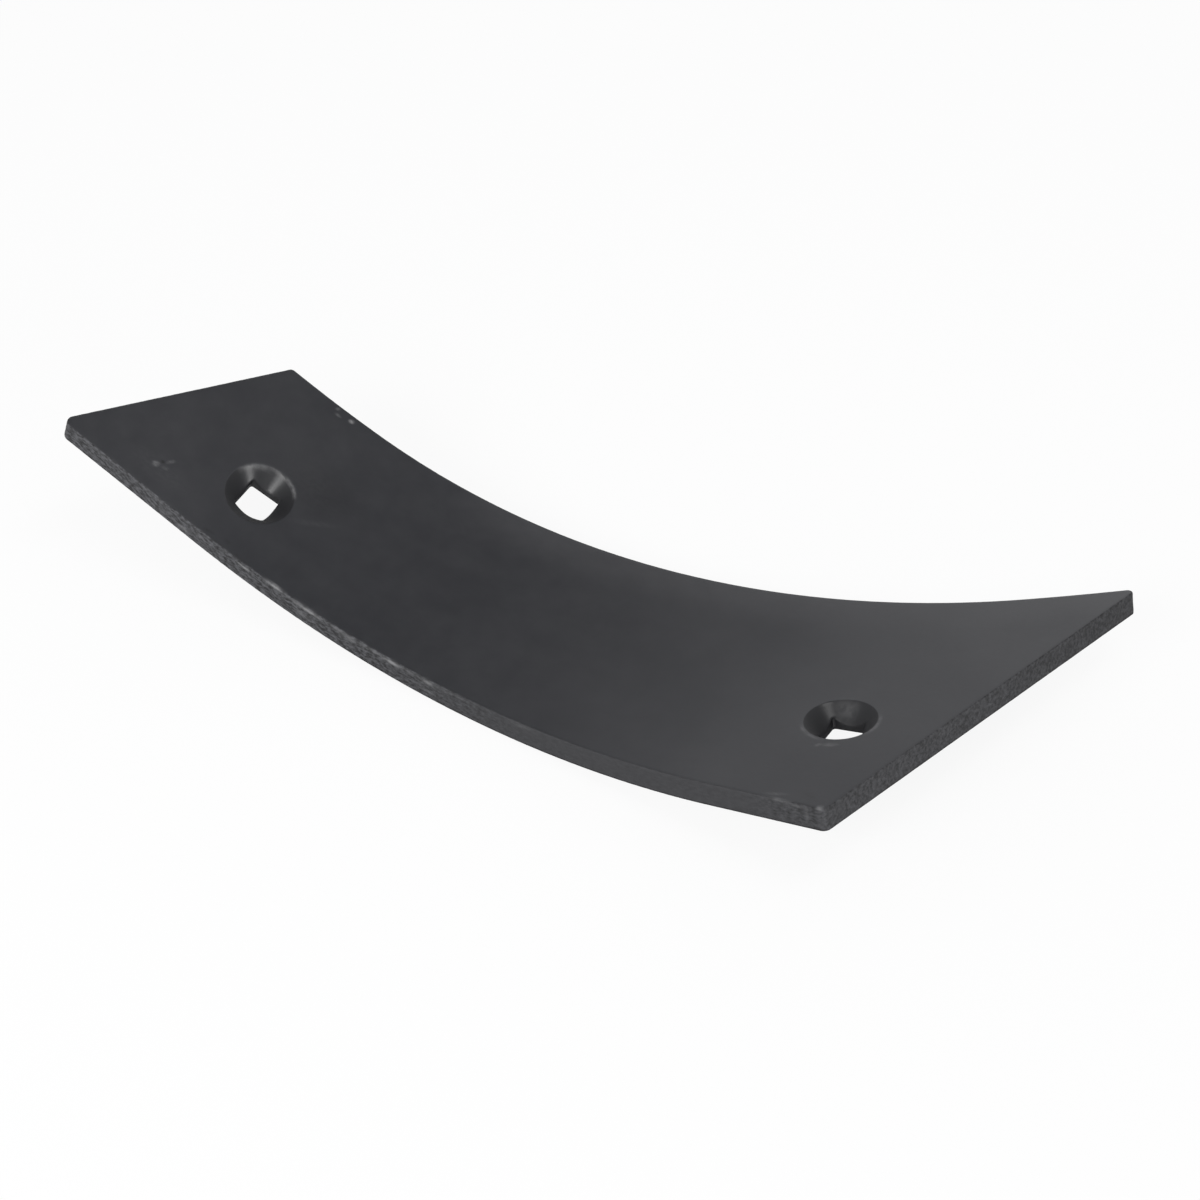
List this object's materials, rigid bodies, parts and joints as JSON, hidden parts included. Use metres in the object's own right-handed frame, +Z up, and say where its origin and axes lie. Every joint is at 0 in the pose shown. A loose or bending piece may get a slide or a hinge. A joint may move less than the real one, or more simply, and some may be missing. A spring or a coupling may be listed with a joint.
{
  "type": "plough shin",
  "caption": "Curved steel wear plate for the front of a plough mouldboard: a tapered, hollow-edged blank bent on skewed lines, with countersunk square bolt holes.",
  "frame": {"origin": "on the ground under the middle of the plate's plan outline, as the plate rests on its convex back", "axes": "+Y along the bend lines, towards the rear edge; +X across them, towards the wide end; +Z up, out of the concave face"},
  "size_m": [0.3108, 0.2738, 0.0538],
  "materials": {
    "shin_plate": "satin charcoal black over hot-formed plate, rubbed bare along the front edge"
  },
  "bodies": {
    "root": {"shin_plate": "shin_plate"}
  },
  "joints": []
}
